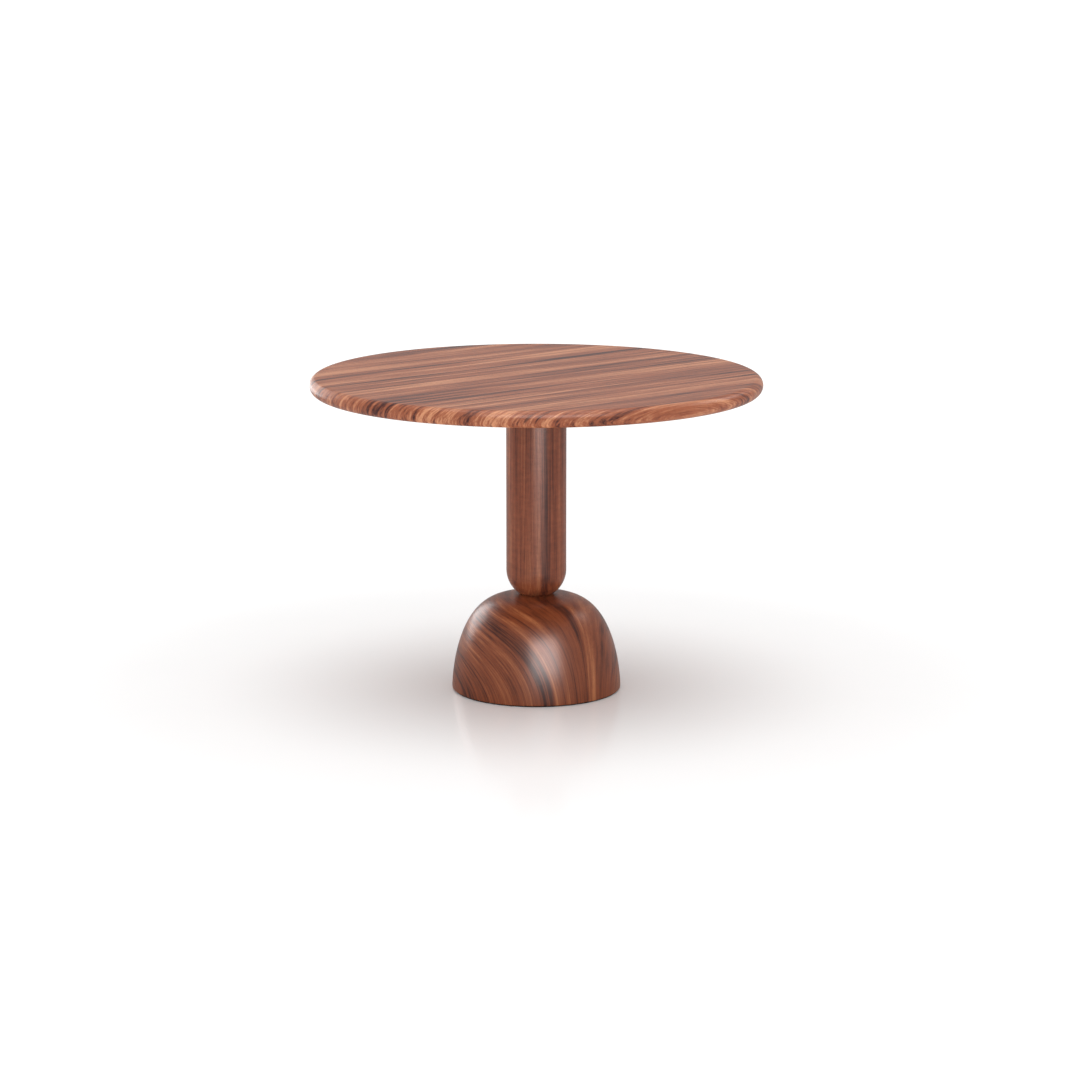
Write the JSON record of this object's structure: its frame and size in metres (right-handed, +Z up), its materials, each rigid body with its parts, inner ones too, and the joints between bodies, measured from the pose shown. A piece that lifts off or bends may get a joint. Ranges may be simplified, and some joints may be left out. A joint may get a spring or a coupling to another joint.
{
  "type": "tilt top table",
  "caption": "Round tilt-top pedestal table in walnut: bullnose top hinged on a head block with a sprung catch, a thick turned column and a weighted turned dome base.",
  "frame": {"origin": "on the floor, on the column's axis, with the top down and locked", "axes": "+Z up; X along the tilt axis and the top's grain; the catch is on the +Y side and the top tips to face -Y"},
  "size_m": [1.0598, 1.0596, 0.75],
  "materials": {
    "walnut_top": "satin lacquered walnut, grain along X",
    "walnut_column": "satin lacquered walnut, grain along Z",
    "walnut_base": "satin lacquered walnut, grain along Z",
    "walnut_underframe": "oiled walnut",
    "beech_dowel": "plain beech",
    "zinc_steel": "zinc plated",
    "bright_steel": "turned, bright",
    "spring_steel": "drawn wire",
    "brass_bush": "turned brass",
    "aged_brass": "satin brass, lightly aged",
    "cork_pad": "cork and rubber sheet",
    "ballast_iron": "as cast, painted",
    "black_plate": "black powder coat",
    "nylon_pad": "moulded nylon",
    "black_rubber": "solid rubber"
  },
  "bodies": {
    "pedestal": {"head_block": "walnut_underframe", "rest_pads": "cork_pad", "stop_pads": "cork_pad", "head_dowels": "beech_dowel", "strike_plate": "aged_brass", "strike_screws": "aged_brass", "pivot_insert_left": "brass_bush", "pivot_insert_right": "brass_bush", "pivot_bolt_left": "bright_steel", "pivot_bolt_right": "bright_steel", "upper_washer": "zinc_steel", "upper_nut": "zinc_steel", "tie_rod": "zinc_steel", "lower_washer": "zinc_steel", "lower_nut": "zinc_steel", "column": "walnut_column", "base_dome": "walnut_base", "ballast": "ballast_iron", "ballast_screws": "zinc_steel", "base_plate": "black_plate", "base_plate_screws": "zinc_steel", "weld_nuts": "zinc_steel", "floor_ring": "black_rubber"},
    "top": {"table_top": "walnut_top", "bearer_left": "walnut_underframe", "bearer_right": "walnut_underframe", "bearer_screws": "zinc_steel", "bearer_washers": "zinc_steel", "pivot_bush_left": "brass_bush", "pivot_bush_right": "brass_bush", "catch_body": "aged_brass", "catch_cap": "aged_brass", "catch_screws": "aged_brass", "catch_spring": "spring_steel"},
    "catch": {"catch_bolt": "bright_steel", "catch_knob": "aged_brass"},
    "pad_1": {"leveller_pad_1": "nylon_pad"},
    "stud_1": {"leveller_stud_1": "zinc_steel"},
    "pad_2": {"leveller_pad_2": "nylon_pad"},
    "stud_2": {"leveller_stud_2": "zinc_steel"},
    "pad_3": {"leveller_pad_3": "nylon_pad"},
    "stud_3": {"leveller_stud_3": "zinc_steel"},
    "pad_4": {"leveller_pad_4": "nylon_pad"},
    "stud_4": {"leveller_stud_4": "zinc_steel"}
  },
  "joints": [
    {"name": "top_tilt", "type": "hinge", "parent": "pedestal", "child": "top", "pos_m": [0, -0.081, 0.69], "axis": [1, 0, 0], "range_deg": [0, 90]},
    {"name": "catch_slide", "type": "slide", "parent": "top", "child": "catch", "axis": [0, 1, 0], "range_m": [0, 0.01], "stiffness_N_per_m": 400, "springref_m": -0.01, "deforming": ["catch_spring"]},
    {"name": "pad_1_slide", "type": "slide", "parent": "pedestal", "child": "pad_1", "axis": [0, 0, -1], "range_m": [0, 0.01]},
    {"name": "stud_1_turn", "type": "hinge", "parent": "pad_1", "child": "stud_1", "pos_m": [0.11314, 0.11314, 0.01], "axis": [0, 0, -1], "range_deg": [0, 2880]},
    {"name": "pad_2_slide", "type": "slide", "parent": "pedestal", "child": "pad_2", "axis": [0, 0, -1], "range_m": [0, 0.01]},
    {"name": "stud_2_turn", "type": "hinge", "parent": "pad_2", "child": "stud_2", "pos_m": [-0.11314, 0.11314, 0.01], "axis": [0, 0, -1], "range_deg": [0, 2880]},
    {"name": "pad_3_slide", "type": "slide", "parent": "pedestal", "child": "pad_3", "axis": [0, 0, -1], "range_m": [0, 0.01]},
    {"name": "stud_3_turn", "type": "hinge", "parent": "pad_3", "child": "stud_3", "pos_m": [-0.11314, -0.11314, 0.01], "axis": [0, 0, -1], "range_deg": [0, 2880]},
    {"name": "pad_4_slide", "type": "slide", "parent": "pedestal", "child": "pad_4", "axis": [0, 0, -1], "range_m": [0, 0.01]},
    {"name": "stud_4_turn", "type": "hinge", "parent": "pad_4", "child": "stud_4", "pos_m": [0.11314, -0.11314, 0.01], "axis": [0, 0, -1], "range_deg": [0, 2880]}
  ],
  "couplings": [
    {"joint": "stud_1_turn", "follows": "pad_1_slide", "rad_per_m": 5026.5},
    {"joint": "stud_2_turn", "follows": "pad_2_slide", "rad_per_m": 5026.5},
    {"joint": "stud_3_turn", "follows": "pad_3_slide", "rad_per_m": 5026.5},
    {"joint": "stud_4_turn", "follows": "pad_4_slide", "rad_per_m": 5026.5}
  ]
}
